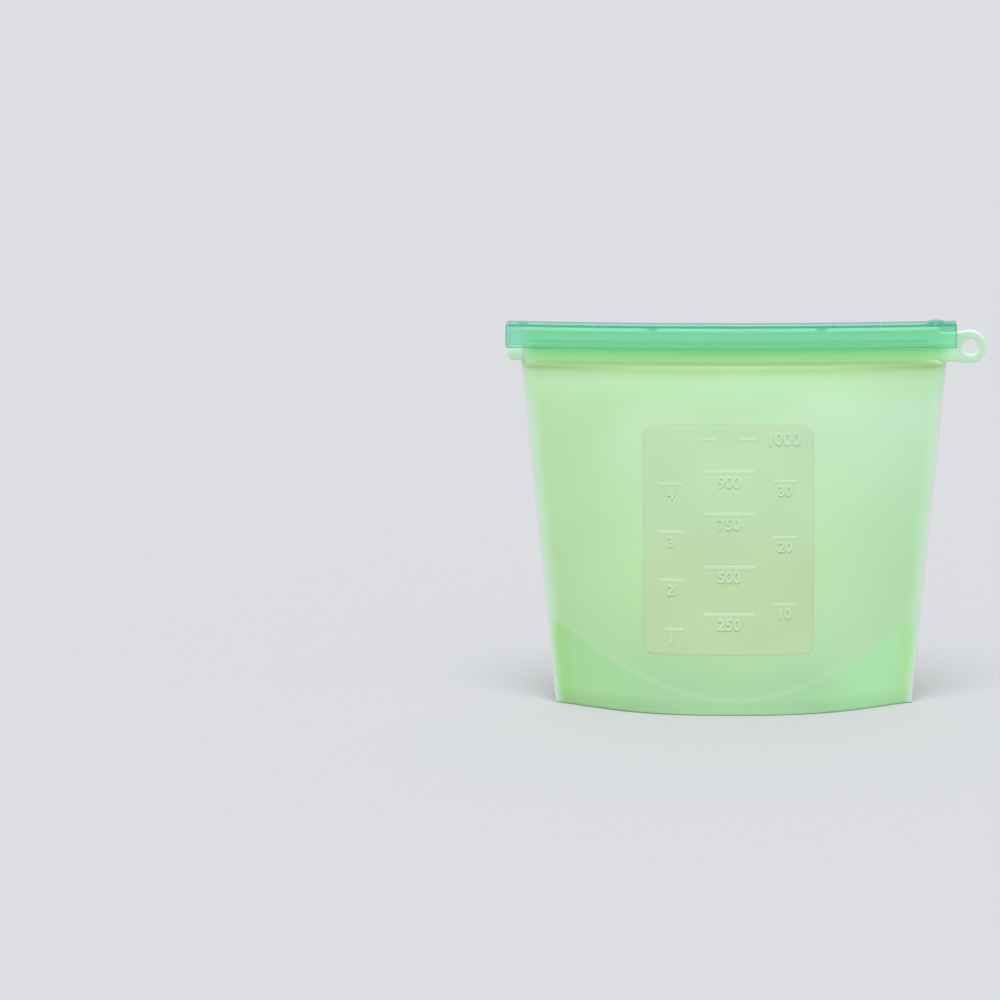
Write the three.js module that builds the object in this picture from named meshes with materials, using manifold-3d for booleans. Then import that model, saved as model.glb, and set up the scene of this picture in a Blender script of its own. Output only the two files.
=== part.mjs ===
// Reusable silicone food bag, closed by a stiff plastic bar that slides along its mouth.
//
// Millimetres, +Z up. The origin is the centre of the base, on the surface the bag stands on.
// +X runs along the bar towards the hanging ring, and -Y is the side with the measuring scale.
// The bag is one moulding on the real object, and the bar is another. Their regions are
// separate solids here, with a small gap between neighbours, so that the walls can swing open,
// the ring can bend, and each solid has a plain shape.

import * as THREE from 'three';
import { mergeVertices } from 'three/addons/utils/BufferGeometryUtils.js';
import Module from 'manifold-3d';

// ---- Driving dimensions -------------------------------------------------------------------

const GAP = 0.3;                  // clearance between neighbouring solids
const WALL = 1.6;                 // silicone wall thickness

// Bag outline: wider at the mouth than at the base, a lens in plan at the base, flat at the top.
const BASE_HALF_WIDTH = 85.6;
const TOP_HALF_WIDTH = 101.6;
const BASE_HALF_DEPTH = 30.4;
const TOP_HALF_DEPTH = 2.6;
const WALL_TOP = 166.7;           // where the walls end and the thick lips begin
const LENS_POWER = 2.8;           // plan outline: (1 - |u| ^ LENS_POWER) ^ LENS_EASE
const LENS_EASE = 1.3;
const SEAM_WIDTH = 5.2;           // flat bonded strip down each side
const SEAM_THICKNESS = 3.2;
const FLAP_HEIGHT = 52;           // the walls swing open above this height

// Bottom gusset: it joins the walls along an arc that climbs towards the side seams, and its
// middle sags to the surface the bag stands on.
const GUSSET_CENTRE_HEIGHT = 6;
const GUSSET_RISE = 32;
const GUSSET_RISE_POWER = 1.8;
const GUSSET_REFERENCE_HALF_WIDTH = 80;
const GUSSET_HALF_LENGTH = 78;
const GUSSET_SAG = 9;

// Lips: a thick band under the bar, and a bead above it that the bar's hooks hold.
const LIP_BOTTOM = WALL_TOP + GAP;
const LIP_LEFT = -101;
const LIP_RIGHT = 98;
const LIP_HALF_THICKNESS = 2.4;   // both lips together are twice this
const BEAD_HALF_THICKNESS = 3.2;
const BEAD_BOTTOM = 176.3;
const BEAD_TOP = 183.2;
const BEAD_CORNER = 0.7;

// Closing bar: a channel closed at its left end, its top and its sides, with two inward hooks.
const BAR_LEFT = -109.6;
const BAR_RIGHT = 106.9;
const BAR_BOTTOM = 174.4;
const BAR_TOP = 184.9;
const BAR_HALF_DEPTH = 4.8;
const BAR_WALL = 1.3;
const BAR_END_WALL = 1.9;
const BAR_HOOK_HEIGHT = 1.5;
const BAR_EDGE_RADIUS = 0.9;      // long edges
const BAR_CORNER_RADIUS = 1.5;    // corners seen from the front
const SLIT_HALF_WIDTH = LIP_HALF_THICKNESS + GAP;
const THUMB_BUMP = { x: 96.4, halfLength: 4.8, halfDepth: 5.1, height: 0.9 };
const STOP_BUMP = { x: -101.2, halfLength: 3, halfDepth: 4.4, height: 0.35 };
const BUMP_ROOT = 0.4;            // how far a bump's ellipsoid is sunk into the bar's top

// Tabs beyond the lips: an ear at the left, and a neck and a hanging ring at the right.
const TAB_HALF_THICKNESS = 1.5;
const EAR_LEFT = -108;
const EAR_TOP = BAR_BOTTOM - 2 * GAP;
const EAR_CORNER = 2.4;
const RING_AXIS_X = 108.2;        // the ring bends about a vertical line here
const NECK_TOP = 180.4;
const NECK_BOTTOM = 165.4;
const NECK_STEP = 102.4;          // the neck drops below the lips outside the side seam
const RING_CENTRE = { x: 112.5, z: 173.4 };
const RING_RADIUS = 8.1;
const RING_HOLE_CENTRE = { x: 113.6, z: 173.5 };
const RING_HOLE_RADIUS = 3.8;

// Facets
const WALL_COLUMNS = 32;
const UPPER_WALL_ROWS = 7;
const LOWER_WALL_ROWS = 5;
const GUSSET_COLUMNS = 32;
const GUSSET_ROWS = 10;
const ARC_SEGMENTS = 6;
const RING_SEGMENTS = 24;
const BUMP_SEGMENTS = 20;

// ---- Materials ----------------------------------------------------------------------------

const silicone = new THREE.MeshStandardMaterial({ color: 0xb9e1af, roughness: 0.45, metalness: 0 });
const lipSilicone = new THREE.MeshStandardMaterial({ color: 0x8ad28d, roughness: 0.45, metalness: 0 });
const barPlastic = new THREE.MeshStandardMaterial({ color: 0x7dd69c, roughness: 0.12, metalness: 0 });

// ---- Shape of the bag ---------------------------------------------------------------------

function bagHalfWidth(z) {
  return BASE_HALF_WIDTH + (TOP_HALF_WIDTH - BASE_HALF_WIDTH) * (z / WALL_TOP);
}

// Distance from the mid-plane to the outside of a wall.
function wallDepth(x, z) {
  const seamDepth = WALL + GAP / 2;
  const middleDepth = BASE_HALF_DEPTH + (TOP_HALF_DEPTH - BASE_HALF_DEPTH) * (z / WALL_TOP);
  const u = Math.min(1, Math.abs(x) / bagHalfWidth(z));
  return seamDepth + (middleDepth - seamDepth) * (1 - u ** LENS_POWER) ** LENS_EASE;
}

// Height at which the gusset joins the walls.
function gussetArcHeight(x) {
  return GUSSET_CENTRE_HEIGHT + GUSSET_RISE * (Math.abs(x) / GUSSET_REFERENCE_HALF_WIDTH) ** GUSSET_RISE_POWER;
}

// ---- Geometry helpers ---------------------------------------------------------------------

// Closed solid between two grids of points. The top grid lies on the side that the cross
// product of the directions of growing u and growing v points to.
function gridSolid(top, bottom, columns, rows) {
  const positions = [];
  for (const surface of [top, bottom]) {
    for (let j = 0; j <= rows; j += 1) {
      for (let i = 0; i <= columns; i += 1) positions.push(...surface(i / columns, j / rows));
    }
  }
  const sheetSize = (columns + 1) * (rows + 1);
  const vertex = (sheet, i, j) => sheet * sheetSize + j * (columns + 1) + i;
  const triangles = [];
  const quad = (a, b, c, d) => triangles.push(a, b, c, a, c, d);
  for (let j = 0; j < rows; j += 1) {
    for (let i = 0; i < columns; i += 1) {
      quad(vertex(0, i, j), vertex(0, i + 1, j), vertex(0, i + 1, j + 1), vertex(0, i, j + 1));
      quad(vertex(1, i, j), vertex(1, i, j + 1), vertex(1, i + 1, j + 1), vertex(1, i + 1, j));
    }
  }
  for (let i = 0; i < columns; i += 1) {
    quad(vertex(1, i, 0), vertex(1, i + 1, 0), vertex(0, i + 1, 0), vertex(0, i, 0));
    quad(vertex(0, i, rows), vertex(0, i + 1, rows), vertex(1, i + 1, rows), vertex(1, i, rows));
  }
  for (let j = 0; j < rows; j += 1) {
    quad(vertex(1, 0, j + 1), vertex(1, 0, j), vertex(0, 0, j), vertex(0, 0, j + 1));
    quad(vertex(0, columns, j + 1), vertex(0, columns, j), vertex(1, columns, j), vertex(1, columns, j + 1));
  }
  const geometry = new THREE.BufferGeometry();
  geometry.setAttribute('position', new THREE.Float32BufferAttribute(positions, 3));
  geometry.setIndex(triangles);
  return geometry;
}

function polygon(points) {
  return new THREE.Shape(points.map(([a, b]) => new THREE.Vector2(a, b)));
}

// Rectangle with its own radius at each corner, in the order: low-low, high-low, high-high,
// low-high.
function roundedRectangle(a0, b0, a1, b1, radii) {
  const [lowLow, highLow, highHigh, lowHigh] = radii;
  const shape = new THREE.Shape();
  shape.moveTo(a0 + lowLow, b0);
  shape.lineTo(a1 - highLow, b0);
  if (highLow > 0) shape.absarc(a1 - highLow, b0 + highLow, highLow, -Math.PI / 2, 0);
  shape.lineTo(a1, b1 - highHigh);
  if (highHigh > 0) shape.absarc(a1 - highHigh, b1 - highHigh, highHigh, 0, Math.PI / 2);
  shape.lineTo(a0 + lowHigh, b1);
  if (lowHigh > 0) shape.absarc(a0 + lowHigh, b1 - lowHigh, lowHigh, Math.PI / 2, Math.PI);
  shape.lineTo(a0, b0 + lowLow);
  if (lowLow > 0) shape.absarc(a0 + lowLow, b0 + lowLow, lowLow, Math.PI, 1.5 * Math.PI);
  return shape;
}

// A shape drawn in Y and Z, extruded from x0 to x1.
function extrudeAlongX(shape, x0, x1) {
  const geometry = new THREE.ExtrudeGeometry(shape, {
    depth: x1 - x0, bevelEnabled: false, curveSegments: ARC_SEGMENTS,
  });
  const axes = [new THREE.Vector3(0, 1, 0), new THREE.Vector3(0, 0, 1), new THREE.Vector3(1, 0, 0)];
  return geometry.applyMatrix4(new THREE.Matrix4().makeBasis(...axes)).translate(x0, 0, 0);
}

// A shape drawn in X and Z, extruded from -halfDepth to halfDepth along Y.
function extrudeAcrossY(shape, halfDepth, curveSegments = ARC_SEGMENTS) {
  const geometry = new THREE.ExtrudeGeometry(shape, {
    depth: 2 * halfDepth, bevelEnabled: false, curveSegments,
  });
  return geometry.rotateX(Math.PI / 2).translate(0, halfDepth, 0);
}

// ---- Joining and cutting ------------------------------------------------------------------

const wasm = await Module();
wasm.setup();

function toSolid(geometry) {
  const bare = geometry.clone();
  bare.deleteAttribute('normal');
  bare.deleteAttribute('uv');
  const merged = mergeVertices(bare, 1e-4);
  return new wasm.Manifold(new wasm.Mesh({
    numProp: 3,
    vertProperties: new Float32Array(merged.attributes.position.array),
    triVerts: new Uint32Array(merged.index.array),
  }));
}

function toGeometry(solid) {
  const mesh = solid.getMesh();
  const geometry = new THREE.BufferGeometry();
  geometry.setAttribute('position', new THREE.Float32BufferAttribute(mesh.vertProperties, 3));
  geometry.setIndex([...mesh.triVerts]);
  return geometry;
}

// ---- Silicone walls -----------------------------------------------------------------------

// One wall region between two heights. side is -1 for the front wall and 1 for the back wall.
function wallRegion(side, z0, z1, rows) {
  const point = (depthInside) => (u, v) => {
    const z = z0 + (z1 - z0) * v;
    const x = (2 * u - 1) * (bagHalfWidth(z) - SEAM_WIDTH - GAP) * -side;
    return [x, side * (wallDepth(x, z) - depthInside), z];
  };
  return gridSolid(point(0), point(WALL), WALL_COLUMNS, rows);
}

// Flat bonded strip where the two walls meet. side is -1 at the left and 1 at the right.
function sideSeam(side) {
  const outline = polygon([
    [side * BASE_HALF_WIDTH, 0],
    [side * TOP_HALF_WIDTH, WALL_TOP],
    [side * (TOP_HALF_WIDTH - SEAM_WIDTH), WALL_TOP],
    [side * (BASE_HALF_WIDTH - SEAM_WIDTH), 0],
  ]);
  return extrudeAcrossY(outline, SEAM_THICKNESS / 2);
}

// Sheet that closes the base between the two walls.
function bottomGusset() {
  const point = (thickness) => (u, v) => {
    const x = (2 * u - 1) * GUSSET_HALF_LENGTH;
    const q = 2 * v - 1;
    const arc = gussetArcHeight(x);
    const halfDepth = wallDepth(x, arc + WALL) - WALL - GAP;
    return [x, q * halfDepth, Math.max(0, arc - GUSSET_SAG * (1 - q * q)) + thickness];
  };
  return gridSolid(point(WALL), point(0), GUSSET_COLUMNS, GUSSET_ROWS);
}

// Thick band with a bead along its top. side is -1 for the front lip and 1 for the back lip.
function lip(side) {
  const inner = GAP / 2;
  const outline = [
    [inner, LIP_BOTTOM],
    [LIP_HALF_THICKNESS, LIP_BOTTOM],
    [LIP_HALF_THICKNESS, BEAD_BOTTOM],
    [BEAD_HALF_THICKNESS, BEAD_BOTTOM + BEAD_CORNER],
    [BEAD_HALF_THICKNESS, BEAD_TOP - BEAD_CORNER],
    [BEAD_HALF_THICKNESS - BEAD_CORNER, BEAD_TOP],
    [inner, BEAD_TOP],
  ];
  return extrudeAlongX(polygon(outline.map(([y, z]) => [side * y, z])), LIP_LEFT, LIP_RIGHT);
}

// ---- Tabs ---------------------------------------------------------------------------------

function leftEar() {
  const outline = roundedRectangle(EAR_LEFT, LIP_BOTTOM, LIP_LEFT - GAP, EAR_TOP, [EAR_CORNER, 0, 0, 0]);
  return extrudeAcrossY(outline, TAB_HALF_THICKNESS);
}

// Upright cylinder on the line that the ring bends about, overshooting the neck's top and
// bottom by a little when it is a cutter.
function ringKnuckle(radius, overshoot) {
  const height = NECK_TOP - NECK_BOTTOM + 2 * overshoot;
  return toSolid(new THREE.CylinderGeometry(radius, radius, height, RING_SEGMENTS)
    .rotateX(Math.PI / 2)
    .translate(RING_AXIS_X, 0, (NECK_TOP + NECK_BOTTOM) / 2));
}

function ringNeck() {
  const outline = polygon([
    [LIP_RIGHT + GAP, LIP_BOTTOM],
    [TOP_HALF_WIDTH + GAP, LIP_BOTTOM],
    [NECK_STEP, NECK_BOTTOM],
    [RING_AXIS_X, NECK_BOTTOM],
    [RING_AXIS_X, NECK_TOP],
    [LIP_RIGHT + GAP, NECK_TOP],
  ]);
  const plate = extrudeAcrossY(outline, TAB_HALF_THICKNESS);
  return toGeometry(toSolid(plate).subtract(ringKnuckle(TAB_HALF_THICKNESS + GAP, GAP)));
}

function hangingRing() {
  const shape = new THREE.Shape();
  shape.moveTo(RING_AXIS_X, NECK_BOTTOM);
  shape.lineTo(RING_CENTRE.x, RING_CENTRE.z - RING_RADIUS);
  shape.absarc(RING_CENTRE.x, RING_CENTRE.z, RING_RADIUS, -Math.PI / 2, Math.PI / 2);
  shape.lineTo(RING_AXIS_X, NECK_TOP);
  const plate = extrudeAcrossY(shape, TAB_HALF_THICKNESS, RING_SEGMENTS / 2);
  const cutter = new THREE.CylinderGeometry(
    RING_HOLE_RADIUS, RING_HOLE_RADIUS, 4 * TAB_HALF_THICKNESS, RING_SEGMENTS,
  ).translate(RING_HOLE_CENTRE.x, 0, RING_HOLE_CENTRE.z);
  return toGeometry(toSolid(plate).add(ringKnuckle(TAB_HALF_THICKNESS, 0)).subtract(toSolid(cutter)));
}

// ---- Closing bar --------------------------------------------------------------------------

function barEnvelope() {
  const edge = BAR_EDGE_RADIUS;
  const corner = BAR_CORNER_RADIUS;
  const section = roundedRectangle(
    -BAR_HALF_DEPTH, BAR_BOTTOM, BAR_HALF_DEPTH, BAR_TOP, [edge / 2, edge / 2, edge, edge],
  );
  const frontOutline = roundedRectangle(
    BAR_LEFT, BAR_BOTTOM, BAR_RIGHT, BAR_TOP, [corner, 0, corner, corner],
  );
  return toSolid(extrudeAlongX(section, BAR_LEFT, BAR_RIGHT))
    .intersect(toSolid(extrudeAcrossY(frontOutline, 2 * BAR_HALF_DEPTH)));
}

// Low oval raised on the bar's top.
function barBump({ x, halfLength, halfDepth, height }) {
  const radius = height + BUMP_ROOT;
  const ellipsoid = new THREE.SphereGeometry(1, BUMP_SEGMENTS, BUMP_SEGMENTS / 2)
    .rotateX(Math.PI / 2)
    .scale(halfLength, halfDepth, radius)
    .translate(x, 0, BAR_TOP - BUMP_ROOT);
  return toSolid(ellipsoid);
}

// The space for the bead, and the slit under it for the lips, open at the right end.
function barChannel() {
  const hookTop = BAR_BOTTOM + BAR_HOOK_HEIGHT;
  const inner = BAR_HALF_DEPTH - BAR_WALL;
  const start = BAR_LEFT + BAR_END_WALL;
  const end = BAR_RIGHT + 1;
  const bead = roundedRectangle(-inner, hookTop, inner, BAR_TOP - BAR_WALL, [0, 0, 0, 0]);
  const slit = roundedRectangle(-SLIT_HALF_WIDTH, BAR_BOTTOM - 1, SLIT_HALF_WIDTH, hookTop + 1, [0, 0, 0, 0]);
  return toSolid(extrudeAlongX(bead, start, end)).add(toSolid(extrudeAlongX(slit, start, end)));
}

function boxSolid(x0, x1, y0, y1, z0, z1) {
  return toSolid(new THREE.BoxGeometry(x1 - x0, y1 - y0, z1 - z0)
    .translate((x0 + x1) / 2, (y0 + y1) / 2, (z0 + z1) / 2));
}

// The bar is one moulding. It is divided into plain slabs around its channel: the top, the
// wall at the closed left end, and the two sides with their hooks.
function barRegions() {
  const bar = barEnvelope()
    .add(barBump(THUMB_BUMP))
    .add(barBump(STOP_BUMP))
    .subtract(barChannel());
  const left = BAR_LEFT - 1;
  const endWall = BAR_LEFT + BAR_END_WALL;
  const right = BAR_RIGHT + 1;
  const side = BAR_HALF_DEPTH + 1;
  const bottom = BAR_BOTTOM - 1;
  const roof = BAR_TOP - BAR_WALL;
  const regions = {
    bar_top: [left, right, -side, side, roof, BAR_TOP + 2],
    bar_end: [left, endWall, -side, side, bottom, roof - GAP],
    bar_front_side: [endWall + GAP, right, -side, 0, bottom, roof - GAP],
    bar_back_side: [endWall + GAP, right, 0, side, bottom, roof - GAP],
  };
  return Object.entries(regions).map(([name, box]) => [name, toGeometry(bar.intersect(boxSolid(...box)))]);
}

// ---- Assembly -----------------------------------------------------------------------------

function addPart(group, name, geometry, material) {
  const mesh = new THREE.Mesh(geometry, material);
  mesh.name = name;
  group.add(mesh);
}

function buildBag() {
  const bag = new THREE.Group();
  const flapBottom = FLAP_HEIGHT + GAP;
  addPart(bag, 'bottom_gusset', bottomGusset(), silicone);
  for (const [name, side] of [['front', -1], ['back', 1]]) {
    addPart(bag, `${name}_wall_lower`, wallRegion(side, 0, FLAP_HEIGHT, LOWER_WALL_ROWS), silicone);
    addPart(bag, `${name}_wall_upper`, wallRegion(side, flapBottom, WALL_TOP, UPPER_WALL_ROWS), silicone);
    addPart(bag, `${name}_lip`, lip(side), lipSilicone);
  }
  addPart(bag, 'left_side_seam', sideSeam(-1), silicone);
  addPart(bag, 'right_side_seam', sideSeam(1), silicone);
  addPart(bag, 'left_ear', leftEar(), silicone);
  addPart(bag, 'ring_neck', ringNeck(), silicone);
  addPart(bag, 'hanging_ring', hangingRing(), silicone);
  for (const [name, geometry] of barRegions()) addPart(bag, name, geometry, barPlastic);
  return bag;
}

export default buildBag();
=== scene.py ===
import math

import bpy
import numpy as np
from mathutils import Matrix, Vector


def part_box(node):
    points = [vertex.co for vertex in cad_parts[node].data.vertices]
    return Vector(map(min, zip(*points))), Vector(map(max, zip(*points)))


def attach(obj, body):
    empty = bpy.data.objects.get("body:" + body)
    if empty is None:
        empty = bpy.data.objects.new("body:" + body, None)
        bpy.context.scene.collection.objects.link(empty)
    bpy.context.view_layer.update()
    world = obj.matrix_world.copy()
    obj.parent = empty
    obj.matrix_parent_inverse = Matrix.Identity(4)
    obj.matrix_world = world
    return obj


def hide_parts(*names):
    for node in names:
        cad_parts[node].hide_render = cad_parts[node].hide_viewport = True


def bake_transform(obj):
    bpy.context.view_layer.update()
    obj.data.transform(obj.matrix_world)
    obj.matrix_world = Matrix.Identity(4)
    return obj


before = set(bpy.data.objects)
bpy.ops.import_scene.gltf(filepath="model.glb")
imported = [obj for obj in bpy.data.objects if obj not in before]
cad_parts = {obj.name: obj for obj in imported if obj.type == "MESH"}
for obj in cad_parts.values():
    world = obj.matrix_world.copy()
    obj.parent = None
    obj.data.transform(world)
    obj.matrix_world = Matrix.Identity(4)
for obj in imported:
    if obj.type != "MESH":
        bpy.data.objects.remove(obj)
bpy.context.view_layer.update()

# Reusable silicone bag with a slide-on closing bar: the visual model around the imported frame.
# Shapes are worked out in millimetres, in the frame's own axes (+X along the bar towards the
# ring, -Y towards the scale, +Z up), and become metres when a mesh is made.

MM = 0.001


def node_box(name):
    """A CAD node's lowest and highest corner, in millimetres."""
    low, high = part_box(name)
    return Vector(low) / MM, Vector(high) / MM


# ---- Sizes from the frame ------------------------------------------------------------------

seam_low, seam_high = node_box("right_side_seam")
lip_low, lip_high = node_box("front_lip")
bar_low = node_box("bar_front_side")[0]
roof_low, roof_high = node_box("bar_top")
ear_low, ear_high = node_box("left_ear")
neck_high = node_box("ring_neck")[1]
ring_low, ring_high = node_box("hanging_ring")
wall_low = node_box("front_wall_lower")[0]

SEAM_WIDTH = 5.2
WALL_TOP = seam_high.z
BASE_HALF_WIDTH = seam_low.x + SEAM_WIDTH
TOP_HALF_WIDTH = seam_high.x
BASE_HALF_DEPTH = -wall_low.y
TOP_HALF_DEPTH = 2.6
SEAM_HALF_THICKNESS = seam_high.y
LENS_POWER = 2.8
LENS_EASE = 1.3

# Silicone
WALL = 1.5
SKIRT_WALL = 2.6              # wall and gusset flange, fused, below the gusset's arc
MID_GAP = 0.02                # half the gap between the two shells where they meet
THINNEST = 0.08               # the least thickness of a shell, at its rounded edges
RIM_RADIUS = 0.6
SEAM_EDGE_RADIUS = 0.4
SEAM_FLAT = 2.4               # the walls start to part this far from the seams' edges
SEAM_TAPER = 4.2              # the seams thin out to their edges over this width
SEAM_EDGE_HALF_THICKNESS = 0.55
LIP_TAPER = 9.0               # the lips thin out to their ends over this length
LIP_END_HALF_THICKNESS = 1.5
FAR_FROM_EDGE = 20.0          # for pieces that show none of the side edges' paleness
TAB_FROM_EDGE = 1.9           # the tabs are as pale as a wall this near to its edge
RIPPLE = 0.8                  # height of the walls' soft waves
FIRST_ROW = RIM_RADIUS + 0.7   # height of the first row of points above the rounded rim
WALL_ROW_STEP = 1.45
LIP_ROW_STEP = 0.3
SAG = 1.25                    # how much lower the mouth and the bar are at their middle

# Gusset arc
ARC_CENTRE_HEIGHT = 6.0
ARC_RISE = 32.0
ARC_RISE_POWER = 1.8
ARC_REFERENCE = 80.0
GUSSET_SAG = 9.0
GUSSET_END_GAP = 4.0          # the gusset's sheet stops this far from the base's ends
GUSSET_EDGE_SINK = WALL * 0.7  # the sheet's edges lie this deep in the walls
GUSSET_LOWEST = 0.05          # the sheet stays this far above the floor

# Lips
LIP_LEFT = lip_low.x
LIP_RIGHT = lip_high.x
LIP_BOTTOM = lip_low.z
BEAD_TOP = lip_high.z
LIP_HALF_THICKNESS = 2.4
BEAD_HALF_THICKNESS = -lip_low.y
BEAD_BOTTOM = 176.3
TUCK_START = WALL_TOP - 3.4    # the wall draws in to the lips between these heights
TUCK_END = WALL_TOP - 0.8
TUCK_DEPTH = 1.95
BEAD_ROUND = 1.0
EAR_DROP = 0.7                # the ear's top stays this much lower, clear of the bowed bar
SEAL_RIB_HEIGHT = 0.45
SEAL_RIB_WIDTH = 0.55
SEAL_GROOVE_SHARE = 1.2       # the back lip's groove is this much deeper than the front's rib
SEAL_RIB_Z = LIP_BOTTOM + 3.6
LIP_EDGE_SHIFT = 6.0          # the lips' ends show less of the side edges' paleness
LIP_GREEN_LEFT = (-103.5, -94.0)   # the lips' deep green fades in, and out, between these
LIP_GREEN_RIGHT = (94.0, 109.0)
TAB_BEVEL = 0.5
TAB_VOXEL = 0.45
RING_HOLE_RADIUS = 3.8
RING_HOLE_SHIFT = 0.6

# Bar
BAR_LEFT = roof_low.x + 0.5
BAR_RIGHT = roof_high.x - 0.5
BAR_BOTTOM = bar_low.z - 0.5
BUMP_HEIGHT = 0.9
BAR_TOP = roof_high.z - BUMP_HEIGHT + 0.3
BAR_HALF_DEPTH = 4.8
BAR_WALL = 1.3
BAR_END_WALL = 1.9
BAR_END_RADIUS = 1.4
BAR_MOUTH_RADIUS = 0.9        # rounding of the bar's open end
HOOK_HEIGHT = 1.5
SLIT_HALF_WIDTH = LIP_HALF_THICKNESS + 0.3
THUMB_BUMP = (96.4, 4.8, 6.2)  # place along the bar, half length, half depth
STOP_BUMP = (-101.2, 3.4, 5.4)
STOP_BUMP_HEIGHT = 0.4
THUMB_TINT = (5.0, 5.6, 0.85)  # half length, half depth, where the colour starts to fade
STOP_TINT = (3.4, 4.6, 0.8)
NOTCHES = (-38.8, 41.9)
NOTCH_DEPTH = 0.45

# Mouth opening: the walls' weights for following their flaps rise between these heights, and stay
# 0 at the seams
BEND_START = 34.0
BEND_END = 120.0
MOUTH_POWER = 0.85

# Measuring panel on the front wall
PANEL_LEFT, PANEL_RIGHT = -43.5, 38.5
PANEL_BOTTOM, PANEL_TOP = 28.0, 137.0
PANEL_CORNER = 6.5
PANEL_HEIGHT = 0.06
MARK_HEIGHT = 0.09
PATCH_SINK = 0.2              # the panel's and the marks' edges start this far inside the wall
PATCH_THICKNESS = 0.2
PATCH_BEVEL = 1.4
PANEL_STEP = 1.3              # spacing of the panel's points, and of the lines' points
LINE_STEP = 0.7
LINE_CORNER_SHARE = 0.45      # a line's corner radius, as a share of its thickness
PANEL_MARGIN = 0.6            # the panel's bevel reaches this far beyond its shown edge

# Numbers of the scale
DIGIT_SHARE = 0.7             # a digit's height in the font's own size
DIGIT_HALF_THICKNESS = 0.3
DIGIT_BOLDNESS = 0.09
DIGIT_BEVEL = 0.08
DIGIT_SINK = 0.45             # the digits' backs lie this far below half the lines' height


# ---- Small helpers -------------------------------------------------------------------------

def smoothstep(start, full, value):
    """0 at start and before it, 1 at full and beyond it. start may be the larger of the two."""
    t = np.clip((np.asarray(value, float) - start) / (full - start), 0.0, 1.0)
    return t * t * (3 - 2 * t)


def srgb(red, green, blue):
    """Linear colour, with alpha, from display values between 0 and 255."""
    def linear(value):
        c = value / 255
        return c / 12.92 if c <= 0.04045 else ((c + 0.055) / 1.055) ** 2.4
    return (linear(red), linear(green), linear(blue), 1.0)


def make_object(name, points, faces):
    """A smooth mesh object from points in millimetres."""
    mesh = bpy.data.meshes.new(name)
    mesh.from_pydata((np.asarray(points, float) * MM).tolist(), [], [list(f) for f in faces])
    mesh.polygons.foreach_set("use_smooth", [True] * len(mesh.polygons))
    mesh.update()
    obj = bpy.data.objects.new(name, mesh)
    bpy.context.scene.collection.objects.link(obj)
    return obj


def points_of(obj):
    """The mesh's points in millimetres."""
    values = np.empty(len(obj.data.vertices) * 3)
    obj.data.vertices.foreach_get("co", values)
    return values.reshape(-1, 3) / MM


def set_points(obj, points):
    """Moves the mesh's points to places in millimetres."""
    obj.data.vertices.foreach_set("co", (points * MM).ravel())
    obj.data.update()


def grid_solid(outer, inner, flip=False):
    """Points and faces of the closed solid between two grids of shape (rows, columns, 3)."""
    rows, columns, _ = outer.shape
    index = np.arange(rows * columns).reshape(rows, columns)
    corners = [index[:-1, :-1], index[:-1, 1:], index[1:, 1:], index[1:, :-1]]
    other = rows * columns
    front = np.stack(corners, -1).reshape(-1, 4)
    back = front[:, ::-1] + other
    ring = np.concatenate([index[0], index[1:, -1], index[-1, -2::-1], index[-2:0:-1, 0]])
    after = np.roll(ring, -1)
    border = np.stack([ring, ring + other, after + other, after], -1)
    faces = np.concatenate([front, back, border])
    if flip:
        faces = faces[:, ::-1]
    return np.concatenate([outer.reshape(-1, 3), inner.reshape(-1, 3)]), faces


# ---- Shape of the bag ----------------------------------------------------------------------

def half_width(z):
    """Half the bag's width, side seams included."""
    share = np.clip(np.asarray(z, float) / WALL_TOP, 0, 1)
    return BASE_HALF_WIDTH + (TOP_HALF_WIDTH - BASE_HALF_WIDTH) * share


def ripple(x, z, side):
    """Soft waves of a thin wall, none at its seams, rim and lips."""
    phase = 0.0 if side < 0 else 2.1
    waves = (
        0.55 * np.sin(0.050 * x + 0.032 * z + 0.9 + phase) * np.sin(0.047 * z + 0.7)
        + 0.35 * np.sin(0.091 * x - 0.043 * z + phase) * np.sin(0.064 * z + 2.0)
        + 0.20 * np.sin(0.140 * x + 0.083 * z + 1.7)
    )
    u = np.clip(np.abs(x) / half_width(z), 0, 1)
    fade = (1 - u ** 4) * smoothstep(6, 40, z) * (1 - smoothstep(138, TUCK_START, z))
    return RIPPLE * waves * fade


def plain_depth(x, z):
    """Distance from the mid-plane to the outside of a wall, without its waves."""
    seam = SEAM_HALF_THICKNESS + MID_GAP
    share = np.clip(z / WALL_TOP, 0, 1)
    middle = BASE_HALF_DEPTH + (TOP_HALF_DEPTH - BASE_HALF_DEPTH) * share
    u = np.clip(np.abs(x) / (half_width(z) - SEAM_FLAT), 0, 1)
    return seam + (middle - seam) * (1 - u ** LENS_POWER) ** LENS_EASE


def wall_depth(x, z, side):
    """Distance from the mid-plane to the outside of a wall."""
    return plain_depth(x, z) + ripple(x, z, side)


def arc_height(x):
    """Height at which the gusset joins the walls."""
    return ARC_CENTRE_HEIGHT + ARC_RISE * (np.abs(x) / ARC_REFERENCE) ** ARC_RISE_POWER


def bow(x):
    """The curve that the mouth and the bar share: down at their middle, up at their ends."""
    curve = 1 - np.clip(np.abs(x) / BAR_RIGHT, 0, 1) ** 2
    return SAG * (0.5 - curve)


def mouth_bow(x, z):
    """How far the mouth is moved up or down: fully at the lips, not at all low on the walls."""
    return bow(x) * smoothstep(110, WALL_TOP, z)


def mouth_weight(points):
    """How far each point follows its flap: 0 at the base and the seams, 1 at mid-mouth."""
    x, z = points[:, 0], points[:, 2]
    across = np.clip(1 - (x / LIP_RIGHT) ** 2, 0, 1) ** MOUTH_POWER
    return across * smoothstep(BEND_START, BEND_END, z)


# ---- Bag shells ----------------------------------------------------------------------------

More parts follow.
